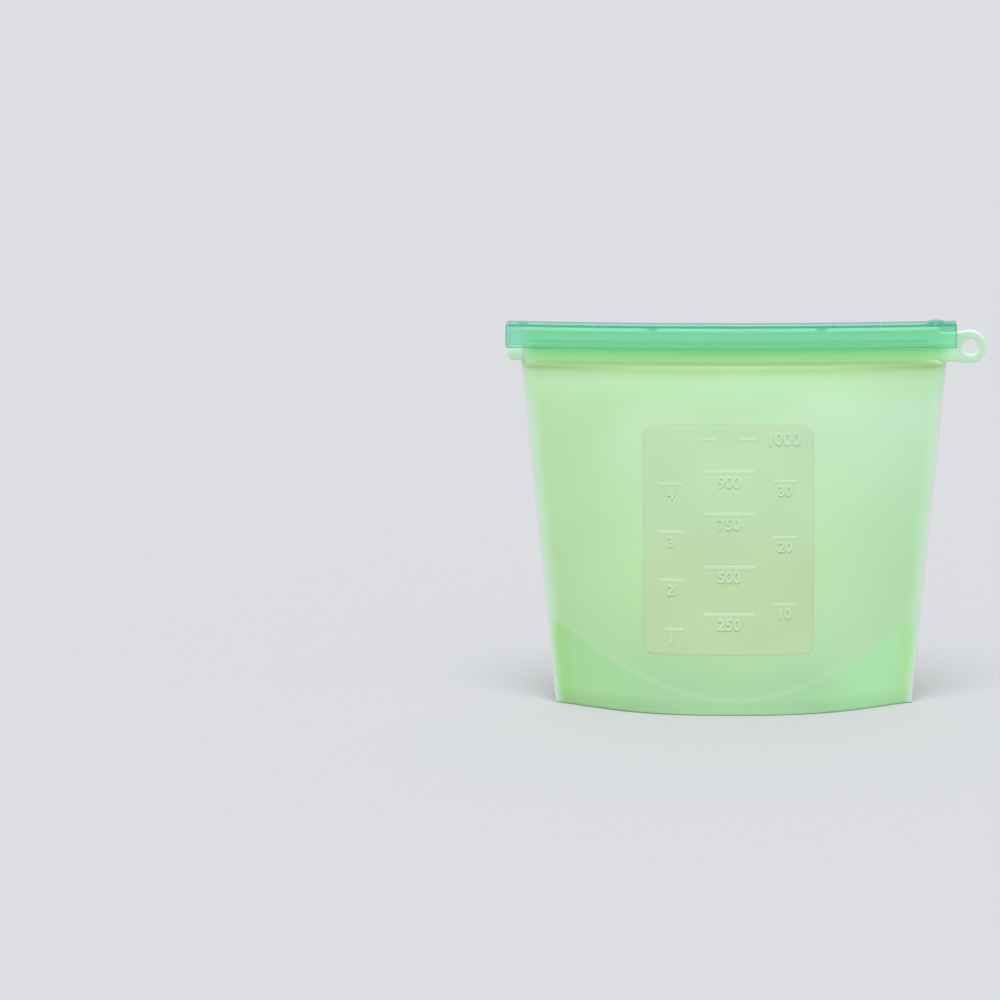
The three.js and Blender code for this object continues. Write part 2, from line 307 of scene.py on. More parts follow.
def shell_rows():
    """Heights of the shells' rows: close together at the rim, the tuck, the lips and the bead."""
    rim = RIM_RADIUS * (1 - np.cos(np.linspace(0, math.pi / 2, 6)))
    wall = np.arange(FIRST_ROW, TUCK_START, WALL_ROW_STEP)
    lips = np.arange(TUCK_START, BEAD_TOP - BEAD_ROUND, LIP_ROW_STEP)
    top = BEAD_TOP - BEAD_ROUND * (1 - np.sin(np.linspace(0, math.pi / 2, 6)))
    return np.concatenate([rim, wall, lips, top])


def shell_columns():
    """Shares across the bag, from -1 to 1, close together at the side edges."""
    edge = SEAM_EDGE_RADIUS / TOP_HALF_WIDTH
    side = 1 - edge * (1 - np.sin(np.linspace(0, math.pi / 2, 7)))
    strip = np.linspace(1 - SEAM_WIDTH * 1.6 / TOP_HALF_WIDTH, 1 - edge, 8, endpoint=False)
    middle = np.linspace(0, strip[0], 64, endpoint=False)
    half = np.concatenate([middle, strip, side])
    return np.concatenate([-half[:0:-1], half])


def outer_depth(x, z, side):
    """Distance from the mid-plane to a shell's outside, lips and bead included."""
    wall = wall_depth(x, np.minimum(z, TUCK_END), side)
    depth = wall + (TUCK_DEPTH - wall) * smoothstep(TUCK_START, TUCK_END, z)
    depth += (LIP_HALF_THICKNESS - TUCK_DEPTH) * smoothstep(TUCK_END, TUCK_END + 1.6, z)
    bead = BEAD_HALF_THICKNESS - LIP_HALF_THICKNESS
    return depth + bead * smoothstep(BEAD_BOTTOM - 0.8, BEAD_BOTTOM + 1.6, z)


def shell_outline(z, share):
    """Places across the bag, their distances from its side edge, and the lips' share."""
    to_lip = smoothstep(WALL_TOP - 1.0, LIP_BOTTOM + 0.5, z)
    left = -half_width(z) * (1 - to_lip) + LIP_LEFT * to_lip
    right = half_width(z) * (1 - to_lip) + LIP_RIGHT * to_lip
    x = np.where(share < 0, -share * left, share * right)
    return x, np.where(share < 0, x - left, right - x), to_lip


def thinned(depth, end_depth, start, end, from_edge):
    """The depth, brought down to end_depth at the side edge."""
    return end_depth + (depth - end_depth) * smoothstep(start, end, from_edge)


def shell_faces(x, z, side, depth, from_edge):
    """Distances from the mid-plane to a shell's outside and inside, rounded at its rims."""
    low = np.clip(RIM_RADIUS - z, 0, None)
    high = np.clip(z - (BEAD_TOP - BEAD_ROUND), 0, BEAD_ROUND)
    rim_inset = RIM_RADIUS - np.sqrt(RIM_RADIUS ** 2 - low ** 2)
    top_inset = BEAD_ROUND - np.sqrt(BEAD_ROUND ** 2 - high ** 2)
    beyond = np.clip(1 - from_edge / SEAM_EDGE_RADIUS, 0, 1)
    edge_round = np.sqrt(1 - beyond ** 2)
    below_arc = 1 - smoothstep(-0.8, 0.8, z - arc_height(x))
    thickness = WALL + (SKIRT_WALL - WALL) * below_arc
    closed = smoothstep(TUCK_START, TUCK_END, z)
    inside = np.maximum(MID_GAP, (depth - thickness) * (1 - closed))
    inside = np.where(from_edge < SEAM_WIDTH, np.minimum(inside, MID_GAP), inside)
    rib = SEAL_RIB_HEIGHT * np.exp(-((z - SEAL_RIB_Z) / SEAL_RIB_WIDTH) ** 2)
    rib = rib * smoothstep(0, 4, from_edge)
    inside = inside - rib * (1.0 if side < 0 else -SEAL_GROOVE_SHARE)
    outside = np.maximum((depth - rim_inset - top_inset) * edge_round, inside + THINNEST)
    inside = inside + np.minimum(rim_inset, RIM_RADIUS / 2) * (inside > 2 * MID_GAP)
    return outside, inside


def shell(side):
    """One wall with its lip, from the rim to the top of the bead. side is -1 front, 1 back."""
    z, share = np.meshgrid(shell_rows(), shell_columns(), indexing="ij")
    x, from_edge, to_lip = shell_outline(z, share)
    depth = outer_depth(x, z, side)
    seam_depth = thinned(depth, SEAM_EDGE_HALF_THICKNESS, -1, SEAM_TAPER, from_edge)
    lip_depth = thinned(depth, LIP_END_HALF_THICKNESS, 0, LIP_TAPER, from_edge)
    depth = seam_depth * (1 - to_lip) + lip_depth * to_lip
    outside, inside = shell_faces(x, z, side, depth, from_edge)

    height = z + mouth_bow(x, z)
    outer = np.stack([x, side * outside, height], -1)
    inner = np.stack([x, side * inside, height], -1)
    points, faces = grid_solid(outer, inner, flip=side > 0)
    obj = make_object("bag_front" if side < 0 else "bag_back", points, faces)
    rest = np.stack([x, side * depth, z], -1).reshape(-1, 3)
    shown_edge = from_edge + LIP_EDGE_SHIFT * smoothstep(WALL_TOP - 4, WALL_TOP, z)
    note_places(obj, np.tile(rest, (2, 1)), np.tile(shown_edge.ravel(), 2))
    return obj


def gusset():
    """The sheet that closes the base, folded up towards the side seams."""
    ends = BASE_HALF_WIDTH - GUSSET_END_GAP
    x, share = np.meshgrid(np.linspace(-ends, ends, 111), np.linspace(-1, 1, 41), indexing="ij")
    arc = arc_height(x)
    reach = np.maximum(plain_depth(x, arc) - GUSSET_EDGE_SINK, 0.3)
    bottom = np.maximum(GUSSET_LOWEST, arc - GUSSET_SAG * (1 - share * share))
    lower = np.stack([x, share * reach, bottom], -1)
    upper = lower + np.array([0, 0, WALL])
    points, faces = grid_solid(upper, lower, flip=True)
    obj = make_object("bag_gusset", points, faces)
    note_places(obj, points, FAR_FROM_EDGE)
    return obj


def note(obj, name, values):
    """Stores one number for each point, for the material to read."""
    values = np.broadcast_to(values, len(obj.data.vertices)).astype(np.float32)
    obj.data.attributes.new(name, "FLOAT", "POINT").data.foreach_set("value", values)


def lip_share(x):
    """How much of the lips' deep green shows: it fades out towards both ends."""
    return smoothstep(*LIP_GREEN_LEFT, x) * (1 - smoothstep(*LIP_GREEN_RIGHT, x))


def note_places(obj, rest, from_edge):
    """Stores the place at rest, and where each point is among the bag's features."""
    place = obj.data.attributes.new("rest", "FLOAT_VECTOR", "POINT")
    place.data.foreach_set("vector", (rest * MM).astype(np.float32).ravel())
    note(obj, "from_edge", from_edge)
    note(obj, "above_arc", rest[:, 2] - arc_height(rest[:, 0]))
    note(obj, "lip", lip_share(rest[:, 0]))


# ---- Tabs at the ends of the lips ----------------------------------------------------------

def plate(name, outline, holes, half_thickness):
    """A flat plate in the mid-plane with soft edges. outline and holes are lists of (x, z)."""
    curve = bpy.data.curves.new(name + "_outline", "CURVE")
    curve.dimensions = "2D"
    curve.fill_mode = "BOTH"
    curve.extrude = (half_thickness - TAB_BEVEL) * MM
    curve.bevel_depth = TAB_BEVEL * MM
    curve.bevel_resolution = 3
    curve.offset = -TAB_BEVEL * MM
    for loop in [outline, *holes]:
        spline = curve.splines.new("POLY")
        spline.points.add(len(loop) - 1)
        for point, (x, z) in zip(spline.points, loop):
            point.co = (x * MM, z * MM, 0, 1)
        spline.use_cyclic_u = True
    drawn = bpy.data.objects.new(name + "_drawn", curve)
    bpy.context.scene.collection.objects.link(drawn)
    bpy.context.view_layer.update()
    mesh = bpy.data.meshes.new_from_object(drawn)
    bpy.data.objects.remove(drawn)
    bpy.data.curves.remove(curve)
    mesh.transform(Matrix.Rotation(math.radians(90), 4, "X"))
    obj = bpy.data.objects.new(name, mesh)
    bpy.context.scene.collection.objects.link(obj)
    apply_modifier(obj, "REMESH", mode="VOXEL", voxel_size=TAB_VOXEL * MM)
    apply_modifier(obj, "SMOOTH", factor=0.5, iterations=6)
    obj.data.polygons.foreach_set("use_smooth", [True] * len(obj.data.polygons))
    return obj


def apply_modifier(obj, kind, **settings):
    """Runs a modifier with the given settings, and keeps its result as the mesh."""
    modifier = obj.modifiers.new(kind.lower(), kind)
    for key, value in settings.items():
        setattr(modifier, key, value)
    with bpy.context.temp_override(object=obj, active_object=obj, selected_objects=[obj]):
        bpy.ops.object.modifier_apply(modifier=modifier.name)


def arc_points(x, z, radius, start, end, steps):
    """Points on an arc about x, z. start and end are in degrees, from +X towards +Z."""
    angles = np.radians(np.linspace(start, end, steps))
    return [(x + radius * math.cos(a), z + radius * math.sin(a)) for a in angles]


def bow_tab(obj):
    """Moves a tab with the mouth's bow, and stores the places that the material needs."""
    points = points_of(obj)
    rest = points.copy()
    points[:, 2] += mouth_bow(points[:, 0], points[:, 2])
    set_points(obj, points)
    note_places(obj, rest, TAB_FROM_EDGE)


def hanging_tab():
    """The neck that leaves the bar's open end, and the ring at its tip."""
    radius = (ring_high.z - ring_low.z) / 2
    centre_x, centre_z = ring_high.x - radius, (ring_high.z + ring_low.z) / 2
    # From inside the lips along the neck's lower edge, around the ring, and back over the neck
    outline = [(LIP_RIGHT - 5, LIP_BOTTOM + 0.3), (LIP_RIGHT + 1.6, WALL_TOP - 0.6)]
    outline += [(LIP_RIGHT + 6.0, ring_low.z + 1.0), (centre_x - 3.0, ring_low.z + 0.25)]
    outline += arc_points(centre_x, centre_z, radius, -90, 90, 33)
    outline += [(neck_high.x + 1.2, neck_high.z + 0.4), (neck_high.x - 3, neck_high.z - 0.1)]
    outline += [(LIP_RIGHT - 5, neck_high.z + 0.6)]
    hole = arc_points(centre_x + RING_HOLE_SHIFT, centre_z, RING_HOLE_RADIUS, 0, -345, 24)
    obj = plate("hanging_tab", outline, [hole], neck_high.y)
    bow_tab(obj)
    return obj


def left_ear():
    """The short tab at the lips' left end, under the bar."""
    low, high = ear_low, ear_high - Vector((0, 0, EAR_DROP))
    corner, top_corner = 2.4, 0.8
    outline = arc_points(low.x + corner, low.z + corner, corner, 180, 270, 8)
    outline += [(LIP_LEFT + 4, low.z), (LIP_LEFT + 4, high.z)]
    outline += arc_points(low.x + top_corner, high.z - top_corner, top_corner, 90, 180, 4)
    obj = plate("left_ear_tab", outline, [], high.y)
    bow_tab(obj)
    return obj


# ---- Closing bar ---------------------------------------------------------------------------

# Tints of the clear plastic, a painted highlight and painted edge shade among them
CLEAR = srgb(193, 243, 225)[:3]
MINT = srgb(168, 242, 219)[:3]
GLINT = srgb(226, 250, 240)[:3]
DEEP_TINT_AND_EDGE_SHADE = srgb(72, 186, 156)[:3]
BACK_EDGE_SHADE = srgb(36, 142, 114)[:3]

EDGE_SHADE_LINE = 0.5               # half width of the painted dark lines along the bar's edges, the shade that light bent there gives
GLINT_DROP = 1.8              # the glint lies this far below the bar's top
GLINT_LINE = 0.45
UPPER_EDGE_DROP = 0.8
FRONT_BAND = (1.1, 0.4)       # the top's painted dark front band starts, and is full, this far from its edge
BACK_BAND = (4.6, 3.2)        # and the same for the painted dark band at the back
OPEN_END = (4.1, 5.1)         # past the thumb bump, the top is deeper towards the open end


def rounded_path(corners, radii, arc_steps=5, edge_steps=17):
    """An open path through the corners, each rounded by its radius."""
    corners = [Vector(c) for c in corners]
    path = []
    for i, (corner, radius) in enumerate(zip(corners, radii)):
        before = corners[i - 1] if i else corner
        after = corners[i + 1] if i + 1 < len(corners) else corner
        start = corner + (before - corner).normalized() * radius
        end = corner + (after - corner).normalized() * radius
        if path:
            last = path[-1]
            path += [last.lerp(start, k / (edge_steps + 1)) for k in range(1, edge_steps + 1)]
        for k in range(arc_steps + 1):
            t = k / arc_steps
            path.append((1 - t) ** 2 * start + 2 * t * (1 - t) * corner + t * t * end)
    return path


def bar_section(inset=0.0):
    """The bar's outside and channel, as two paths of (y, z) with as many points each."""
    slit, outer, inner = SLIT_HALF_WIDTH, BAR_HALF_DEPTH - inset, BAR_HALF_DEPTH - BAR_WALL
    bottom, top = BAR_BOTTOM + inset, BAR_TOP - inset
    hook, roof = BAR_BOTTOM + HOOK_HEIGHT, BAR_TOP - BAR_WALL
    outside = [(slit, bottom), (outer, bottom), (outer, top)]
    outside += [(-y, z) for y, z in reversed(outside)]
    channel = [(-slit, hook), (-inner, hook), (-inner, roof)]
    channel += [(-y, z) for y, z in reversed(channel)]
    outside_path = rounded_path(outside, [0.2, 0.5, 0.9, 0.9, 0.5, 0.2])
    channel_path = rounded_path(channel, [0.35, 0.25, 0.4, 0.4, 0.25, 0.35])
    return np.array([tuple(p) for p in outside_path]), np.array([tuple(p) for p in channel_path])


def bar_stations():
    """Places along the bar, in its closed left end and in its channel, fine where it is round."""
    left = BAR_LEFT + BAR_END_RADIUS * (1 - np.cos(np.linspace(0, math.pi / 2, 8)))
    body = np.arange(BAR_LEFT + BAR_END_WALL, BAR_RIGHT - 1.0, 1.1)
    right = BAR_RIGHT - BAR_MOUTH_RADIUS * (1 - np.sin(np.linspace(0, math.pi / 2, 6)))
    return left, np.concatenate([body, right])


def bump(x, y, centre, half_length, half_depth, height):
    """Height of an oval bump on the bar's top."""
    oval = ((x - centre) / half_length) ** 2 + (y / half_depth) ** 2
    return height * np.sqrt(np.clip(1 - oval, 0, 1))


def bar_bow(x, z):
    """How far the bar is moved up or down: its top bows, and its lower edge stays straight."""
    return bow(x) * np.clip((z - BAR_BOTTOM) / (BAR_TOP - BAR_BOTTOM), 0, 1.2)


def shaped_bar_points(x, section, outside):
    """Adds the thumb bump, the stop bump, the two notches and the bow to one section."""
    y, z = section[:, 0].copy(), section[:, 1].copy()
    if outside:
        on_top = smoothstep(BAR_TOP - 1.2, BAR_TOP - 0.2, z)
        thumb = bump(x, y, *THUMB_BUMP, BUMP_HEIGHT + 0.1)
        z += on_top * (thumb + bump(x, y, *STOP_BUMP, STOP_BUMP_HEIGHT))
        y += np.sign(y) * on_top * 0.3 * np.clip(thumb, 0, 1)
        y += np.where(y < 0, NOTCH_DEPTH, 0.0) * notch(x, z)
        end = np.clip((x - (BAR_RIGHT - BAR_MOUTH_RADIUS)) / BAR_MOUTH_RADIUS, 0, 1)
        z -= on_top * BAR_MOUTH_RADIUS * (1 - np.sqrt(1 - end ** 2))
    return np.stack([np.full_like(y, x), y, z + bar_bow(x, z)], -1)


def notch(x, z):
    """How much of a notch there is at each point, near the top of the bar's front."""
    along = sum(np.exp(-((x - centre) / 2.6) ** 4) for centre in NOTCHES)
    return along * np.exp(-((z - (BAR_TOP - 2.0)) / 0.6) ** 2)


def in_oval(x, y, half_length, half_depth, share):
    """1 inside an oval, fading to 0 between the given share of its size and just outside it."""
    return 1 - smoothstep(share, 1.1, np.sqrt((x / half_length) ** 2 + (y / half_depth) ** 2))


def line_along(distance, half_width):
    """1 on a line, fading out over half_width to either side."""
    return np.exp(-(distance / half_width) ** 2)


def bar_tint(x, section, outside):
    """The plastic's tint at each point: deeper in its thick places, with painted shade as dark
    lines along its edges and in its notches, and a painted highlight as a pale line below its
    top.
    """
    across, z = section[:, 0], section[:, 1]
    y = np.abs(across)
    tint = np.tile(CLEAR, (len(y), 1))

    def add(colour, share):
        share = np.clip(share, 0, 1)[:, None]
        tint[:] = tint * (1 - share) + np.array(colour) * share

    if outside:
        top = smoothstep(BAR_TOP - 0.5, BAR_TOP - 0.05, z)
        add(MINT, top)
        # painted highlight: a pale line below the top
        add(GLINT, line_along(z - (BAR_TOP - GLINT_DROP), GLINT_LINE))
        from_front, from_back = BAR_HALF_DEPTH + across, BAR_HALF_DEPTH - across
        # painted shade: the dark band at the back of the top
        add(BACK_EDGE_SHADE, top * smoothstep(*BACK_BAND, from_back))
        past_lips = smoothstep(LIP_RIGHT - 1, LIP_RIGHT + 1, x)
        upper_edges = np.hypot(y - BAR_HALF_DEPTH, z - BAR_TOP + UPPER_EDGE_DROP)
        lower_edges = np.hypot(y - BAR_HALF_DEPTH, z - BAR_BOTTOM)
        # painted shade: dark lines along the edges, the top's front band and the notches; the
        # bumps are deeper for their thick plastic
        deeper = (
            (1.0, line_along(upper_edges, EDGE_SHADE_LINE)),
            (0.9, top * smoothstep(*FRONT_BAND, from_front)),
            (0.9, line_along(lower_edges, EDGE_SHADE_LINE)),
            (0.9, top * in_oval(x - THUMB_BUMP[0], y, *THUMB_TINT)),
            (0.9, top * in_oval(x - STOP_BUMP[0], y, *STOP_TINT)),
            (0.65, top * smoothstep(*OPEN_END, x - THUMB_BUMP[0])),
            (0.35, past_lips * smoothstep(-0.6, 0.6, z - neck_high.z)),
            (0.9, notch(x, z) * (across < 0)),
        )
        for strength, share in deeper:
            add(DEEP_TINT_AND_EDGE_SHADE, strength * share)
    if x < BAR_LEFT + BAR_END_WALL + 0.1:
        add(DEEP_TINT_AND_EDGE_SHADE, np.full_like(y, 0.2))
    # painted shade: dark lines at both ends
    left_end, right_end = line_along(x - BAR_LEFT, 0.55), line_along(x - BAR_RIGHT, 0.4)
    add(DEEP_TINT_AND_EDGE_SHADE, np.full_like(y, max(left_end * 0.85, right_end * 0.9)))
    return tint


def band_of_faces(low, high, size):
    """Faces between two closed loops of points that start at the indices low and high."""
    return [(low + i, low + (i + 1) % size, high + (i + 1) % size, high + i) for i in range(size)]


def closing_bar():
    """The clear channel: a solid left end, then walls, top and two hooks, open at the right."""
    left, stations = bar_stations()
    points, tints, faces = [], [], []
    outside, channel = bar_section()
    count = len(outside)
    loop = 2 * count
    start = len(left) * count

    def add(x, section, is_outside):
        points.append(shaped_bar_points(x, section, is_outside))
        tints.append(bar_tint(x, section, is_outside))

    for x in left:
        past = BAR_LEFT + BAR_END_RADIUS - x
        inset = BAR_END_RADIUS - math.sqrt(max(0.0, BAR_END_RADIUS ** 2 - past ** 2))
        add(x, bar_section(inset)[0], True)
    for x in stations:
        add(x, outside, True)
        add(x, channel, False)

    # The left end, the step from it to the channel, the channel, and the open right end
    for k in range(len(left) - 1):
        faces += band_of_faces(k * count, (k + 1) * count, count)
    faces.append(tuple(range(count))[::-1])
    faces += band_of_faces(start - count, start, count)
    faces.append((start + count - 1, *range(start + count, start + loop), start))
    for k in range(len(stations) - 1):
        faces += band_of_faces(start + k * loop, start + (k + 1) * loop, loop)
    end = start + (len(stations) - 1) * loop
    last = end + loop - 1
    faces += [(end + i, end + i + 1, last - 1 - i, last - i) for i in range(count - 1)]

    obj = make_object("closing_bar", np.concatenate(points), faces)
    colours = obj.data.attributes.new("tint", "FLOAT_VECTOR", "POINT")
    colours.data.foreach_set("vector", np.concatenate(tints).astype(np.float32).ravel())
    return obj


# ---- Measuring panel and its marks ---------------------------------------------------------

def raised_patch(x0, x1, z0, z1, corner, height, step, base=0.0):
    """A thin rounded rectangle that follows the front wall. Returns its points and faces."""
    z_mid, x_mid = (z0 + z1) / 2, (x0 + x1) / 2
    half_z, half_x = (z1 - z0) / 2, (x1 - x0) / 2
    bevel = min(PATCH_BEVEL, half_z * 0.5)
    curve = corner * (1 - np.cos(np.linspace(0, math.pi / 2, 8)))
    straight = half_z - corner
    middle = np.linspace(-straight, straight, max(2, int(straight * 2 / step)))
    rise = np.concatenate([-half_z + curve[:-1], middle, half_z - curve[-2::-1]])
    over = np.clip(np.abs(rise) - straight, 0, corner)
    reach = half_x - corner + np.sqrt(corner ** 2 - over ** 2)
    across = np.linspace(-1, 1, max(5, int(2 * half_x / step)))
    z = z_mid + rise[:, None] + 0 * across[None, :]
    x = x_mid + reach[:, None] * across[None, :]
    inside_x = reach[:, None] * (1 - np.abs(across[None, :]))
    inside_z = (half_z - np.abs(rise))[:, None] + 0 * across[None, :]
    lift = np.minimum(smoothstep(0, bevel, inside_x), smoothstep(0, bevel, inside_z))
    depth = wall_depth(x, z, -1) + base - PATCH_SINK
    outer = np.stack([x, -(depth + (height + PATCH_SINK) * lift), z], -1)
    inner = np.stack([x, -(depth - PATCH_THICKNESS), z], -1)
    return grid_solid(outer, inner)


def measuring_panel():
    """The polished rounded rectangle on the front, under the scale."""
    points, faces = raised_patch(
        PANEL_LEFT - PANEL_MARGIN, PANEL_RIGHT + PANEL_MARGIN,
        PANEL_BOTTOM - PANEL_MARGIN, PANEL_TOP + PANEL_MARGIN,
        PANEL_CORNER, PANEL_HEIGHT, PANEL_STEP,
    )
    obj = make_object("measuring_panel", points, faces)
    note_places(obj, points, FAR_FROM_EDGE)
    return obj


def number_on_wall(text, x, z, size):
    """A raised number on the front wall, centred at x, z. Returns its points and faces."""
    curve = bpy.data.curves.new("number", "FONT")
    curve.body = text
    curve.size = size * MM / DIGIT_SHARE
    curve.align_x = "CENTER"
    curve.align_y = "CENTER"
    curve.extrude = DIGIT_HALF_THICKNESS * MM
    curve.offset = DIGIT_BOLDNESS * MM
    curve.bevel_depth = DIGIT_BEVEL * MM
    curve.resolution_u = 5
    drawn = bpy.data.objects.new("number_drawn", curve)
    bpy.context.scene.collection.objects.link(drawn)
    bpy.context.view_layer.update()
    mesh = bpy.data.meshes.new_from_object(drawn)
    bpy.data.objects.remove(drawn)
    flat = np.array([v.co for v in mesh.vertices]) / MM
    faces = [tuple(p.vertices) for p in mesh.polygons]
    bpy.data.meshes.remove(mesh)
    bpy.data.curves.remove(curve)
    centre = (flat.max(0) + flat.min(0)) / 2
    px, pz = flat[:, 0] - centre[0] + x, flat[:, 1] - centre[1] + z
    out = flat[:, 2] - flat[:, 2].min() - DIGIT_SINK + PANEL_HEIGHT + MARK_HEIGHT * 0.5
    points = np.stack([px, -(wall_depth(px, pz, -1) + out), pz], -1)
    return points, faces


def scale_lines():
    """Left end, right end, height and thickness of each line of the scale."""
    middle, left, last_left, right = (-15.2, 10.7), (-36.3, -23.9), (-33.5, -23.9), (18.4, 30.8)
    lines = [(-17.2, -8.3, 130.3, 1.6), (2.3, 11.8, 130.3, 1.6)]
    lines += [(*middle, z, 2.7) for z in (115.0, 95.0, 69.9, 47.5)]
    lines += [(*left, z, 2.3) for z in (109.1, 86.3, 63.6)]
    lines += [(*last_left, 40.4, 2.3)]
    return lines + [(*right, z, 2.3) for z in (110.5, 84.0, 52.3)]


def scale_numbers():
    """Text, place and size of each number of the scale."""
    millilitres = zip(("900", "750", "500", "250"), (110.1, 90.3, 65.3, 42.9))
    cups = zip("4321", (104.6, 81.8, 59.1, 36.0))
    ounces = zip(("30", "20", "10"), (106.2, 79.7, 48.1))
    numbers = [("1000", 24.4, 130.5, 5.8)]
    numbers += [(text, -2.2, z, 5.2) for text, z in millilitres]
    numbers += [(text, -30.2, z, 4.8) for text, z in cups]
    return numbers + [(text, 24.6, z, 4.8) for text, z in ounces]


def line_on_wall(x0, x1, z, thickness):
    """A raised line on the panel. Returns its points and faces."""
    half, corner = thickness / 2, thickness * LINE_CORNER_SHARE
    return raised_patch(x0, x1, z - half, z + half, corner, MARK_HEIGHT, LINE_STEP, PANEL_HEIGHT)


def scale_marks():
    """Lines and numbers of the scale: millilitres in the middle, cups left, ounces right."""
    made = [line_on_wall(*line) for line in scale_lines()]
    made += [number_on_wall(*number) for number in scale_numbers()]
    points, faces, offset = [], [], 0
    for part_points, part_faces in made:
        points.append(part_points)
        faces += [tuple(int(v) + offset for v in face) for face in part_faces]
        offset += len(part_points)
    points = np.concatenate(points)
    obj = make_object("scale_marks", points, faces)
    note_places(obj, points, FAR_FROM_EDGE)
    return obj


# ---- Materials -----------------------------------------------------------------------------

class Paint:
    """A material, with short names for adding and joining its nodes."""

    def __init__(self, name):
        self.material = bpy.data.materials.new(name)
        self.material.use_nodes = True
        self.tree = self.material.node_tree
        self.shader = self.tree.nodes["Principled BSDF"]

    def add(self, kind, **settings):
        node = self.tree.nodes.new(kind)
        for key, value in settings.items():
            setattr(node, key, value)
        return node

    def put(self, value, socket):
        """Links a node's output to the socket, or sets the socket to a constant."""
        if isinstance(value, bpy.types.NodeSocket):
            self.tree.links.new(value, socket)
        else:
            socket.default_value = value

    def value(self, name):
        """A number that is stored for each point."""
        return self.add("ShaderNodeAttribute", attribute_name=name).outputs["Fac"]

    def ramp(self, value, start, full, first=0.0, last=1.0, curve="SMOOTHSTEP"):
        """first at start and before it, last at full and beyond it, and a step between them."""
        node = self.add("ShaderNodeMapRange", interpolation_type=curve)
        sockets = ("Value", "From Min", "From Max", "To Min", "To Max")
        for socket, given in zip(sockets, (value, start, full, first, last)):
            self.put(given, node.inputs[socket])
        return node.outputs["Result"]

    def math(self, operation, first, second=0.0):
        node = self.add("ShaderNodeMath", operation=operation)
        self.put(first, node.inputs[0])
        self.put(second, node.inputs[1])
        return node.outputs[0]

    def product(self, first, second):
        return self.math("MULTIPLY", first, second)

    def mix(self, factor, first, second):
        """The first colour where the factor is 0, the second where it is 1."""
        node = self.add("ShaderNodeMix", data_type="RGBA")
        self.put(factor, node.inputs["Factor"])
        self.put(first, node.inputs[6])
        self.put(second, node.inputs[7])
        return node.outputs[2]

    def noise(self, place, scale, detail=2.0):
        node = self.add("ShaderNodeTexNoise")
        self.put(place, node.inputs["Vector"])
        node.inputs["Scale"].default_value = scale
        node.inputs["Detail"].default_value = detail
        return node.outputs["Fac"]

    def bump(self, height, strength, distance):
        node = self.add("ShaderNodeBump")
        self.put(height, node.inputs["Height"])
        node.inputs["Strength"].default_value = strength
        node.inputs["Distance"].default_value = distance
        self.tree.links.new(node.outputs["Normal"], self.shader.inputs["Normal"])

    def set(self, **values):
        for key, value in values.items():
            self.put(value, self.shader.inputs[key.replace("_", " ")])


# Silicone colours: pairs are for the left and the right of the bag; the right ones are painted
# lighter and bluer, as more light falls on that side
BODY_LOW = (srgb(189, 226, 176), srgb(191, 229, 185))
BODY_HIGH = (srgb(196, 231, 184), srgb(203, 237, 205))
SKIRT = (srgb(178, 226, 167), srgb(185, 238, 187))
SEAM_STRIP = (srgb(175, 225, 154), srgb(187, 235, 176))
LOW_MIDDLE = srgb(173, 214, 171)
# painted shade and contact shadow near the floor
PAINTED_FOOT_SHADE = (srgb(150, 190, 140), srgb(160, 206, 162))
PALE = (srgb(196, 222, 195), srgb(205, 232, 210))
# painted light on the wall's soft folds
PAINTED_LIGHT_PATCH = srgb(207, 233, 205)
# thin pale side edges with painted light on them, and a painted highlight along the very edge
EDGE_THIN_AND_LIT = srgb(214, 240, 218)
EDGE_HIGHLIGHT = srgb(227, 239, 229)
ARC_LINE = srgb(194, 232, 190)
# The lips' own green, with painted shade and painted light in some of the stops
LIP_GREEN_AND_SHADE_STOPS = (                 # height above the lips' lower edge, colour
    (-9.0, srgb(197, 235, 191)),
    (-5.5, srgb(188, 227, 175)),
    # painted shade and painted light of the step below the lips
    (-4.3, srgb(184, 220, 168)),
    (-2.9, srgb(169, 205, 150)),
    (-1.4, srgb(179, 223, 160)),
    (-0.4, srgb(184, 232, 167)),
    (0.6, srgb(174, 224, 158)),
    (3.0, srgb(162, 220, 154)),
    # painted shadow under the bar's lower edge
    (5.4, srgb(134, 206, 144)),
    (6.8, srgb(120, 194, 137)),
    # painted light under the bead's overhang
    (7.9, srgb(154, 234, 159)),
    (9.0, srgb(167, 243, 167)),
    (11.5, srgb(162, 230, 170)),
    (13.6, srgb(164, 226, 180)),
    # painted shade on the bead's top, where it faces the light
    (14.6, srgb(158, 214, 180)),
    (15.8, srgb(140, 196, 162)),
)
MARK = srgb(190, 222, 184)
PANEL = srgb(187, 218, 177)
PANEL_LOW = srgb(185, 212, 164)

# Noise scales, per metre, and the part of the noise over which each effect sets in
CLOUD_SCALE = 18.0
CLOUD_RANGE = (0.35, 0.68)
CLOUD_STRENGTH = 0.2
PATCH_SCALE = 15.0
PATCH_RANGE = (0.48, 0.72)
FROST_SCALE = 180.0
FROST_RANGE = (0.3, 0.7)
FROST_SPREAD = 0.1            # the roughness varies by this much
GRAIN_SCALE = 2600.0

# Where colours set in: first where a colour starts to show, then where it is full.
# Heights and places across are in metres
LEFT_TO_RIGHT = (-0.02, 0.1)
LIGHTER_HEIGHTS = (0.055, 0.135)
LIGHT_PATCH_HEIGHTS = (0.085, 0.13)
LOW_MIDDLE_ACROSS = (0.068, 0.03)
STRIP_HEIGHTS = (0.0405, 0.0385)
FOOT_SHADE_HEIGHTS = (0.009, 0.003)
CONTACT_SHADOW_HEIGHTS = (0.0014, 0.0003)
FOOT_SHADE_ACROSS = (0.012, 0.052)
EDGE_HEIGHTS = (0.034, 0.044)
PANEL_HEIGHTS = (0.05, 0.12)
